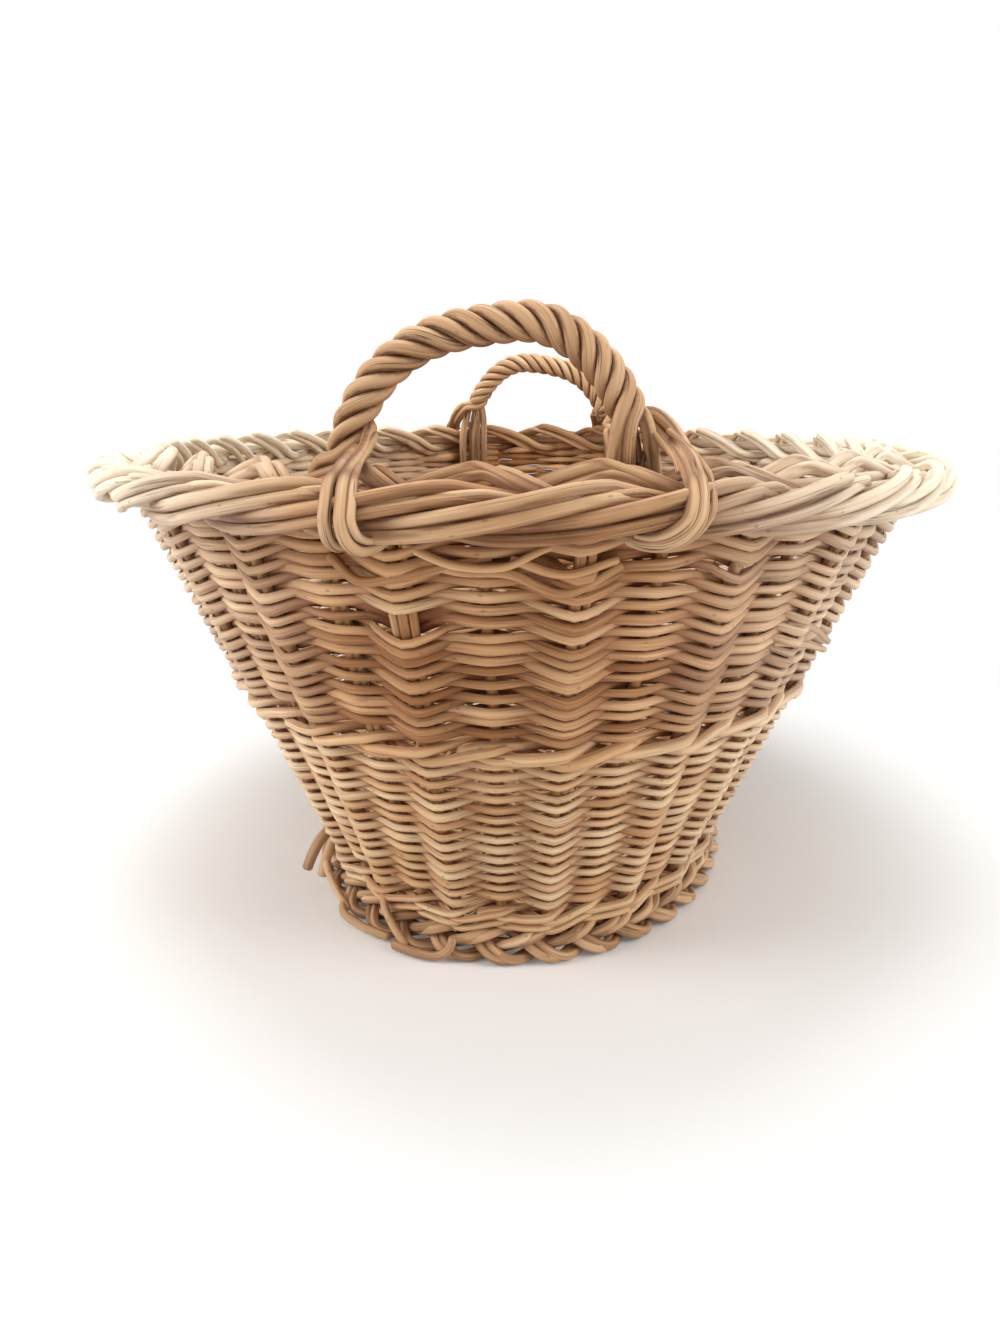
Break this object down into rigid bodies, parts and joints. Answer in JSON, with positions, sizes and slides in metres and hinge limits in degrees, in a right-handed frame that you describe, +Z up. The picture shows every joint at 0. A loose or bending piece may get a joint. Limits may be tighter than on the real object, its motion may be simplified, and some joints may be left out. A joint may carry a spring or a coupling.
{
  "type": "laundry basket",
  "caption": "Oval willow laundry basket with a flared wall woven on upright stakes, a broad plaited border, a plaited foot and a roped bow handle at each end.",
  "frame": {"origin": "on the floor, under the middle of the oval base", "axes": "+Z up, +Y along the basket's length from the front handle to the back handle, +X across it"},
  "size_m": [0.5212, 0.6572, 0.3405],
  "materials": {
    "stake_willow": "dry peeled willow, matt",
    "weave_willow": "dry peeled willow, satin on the crowns",
    "border_willow": "dry peeled willow, polished by handling",
    "handle_willow": "dry peeled willow, polished by handling",
    "foot_willow": "dry peeled willow, scuffed",
    "base_willow": "dry peeled willow, matt"
  },
  "bodies": {
    "root": {"stake_01": "stake_willow", "stake_02": "stake_willow", "stake_03": "stake_willow", "stake_04": "stake_willow", "stake_05": "stake_willow", "stake_06": "stake_willow", "stake_07": "stake_willow", "stake_08": "stake_willow", "stake_09": "stake_willow", "stake_10": "stake_willow", "stake_11": "stake_willow", "stake_12": "stake_willow", "stake_13": "stake_willow", "stake_14": "stake_willow", "stake_15": "stake_willow", "stake_16": "stake_willow", "stake_17": "stake_willow", "stake_18": "stake_willow", "stake_19": "stake_willow", "stake_20": "stake_willow", "stake_21": "stake_willow", "stake_22": "stake_willow", "stake_23": "stake_willow", "stake_24": "stake_willow", "stake_25": "stake_willow", "stake_26": "stake_willow", "stake_27": "stake_willow", "stake_28": "stake_willow", "stake_29": "stake_willow", "stake_30": "stake_willow", "stake_31": "stake_willow", "stake_32": "stake_willow", "stake_33": "stake_willow", "stake_34": "stake_willow", "stake_35": "stake_willow", "stake_36": "stake_willow", "stake_37": "stake_willow", "stake_38": "stake_willow", "stake_39": "stake_willow", "stake_40": "stake_willow", "stake_41": "stake_willow", "stake_42": "stake_willow", "stake_43": "stake_willow", "foot_wale": "weave_willow", "lower_weave": "weave_willow", "middle_wale": "weave_willow", "upper_weave": "weave_willow", "border_strand_1": "border_willow", "border_strand_2": "border_willow", "border_strand_3": "border_willow", "foot_strand_1": "foot_willow", "foot_strand_2": "foot_willow", "base_sticks": "base_willow", "base_weave": "base_willow", "front_handle_bow": "handle_willow", "front_handle_rope_1": "handle_willow", "front_handle_rope_2": "handle_willow", "back_handle_bow": "handle_willow", "back_handle_rope_1": "handle_willow", "back_handle_rope_2": "handle_willow"}
  },
  "joints": []
}
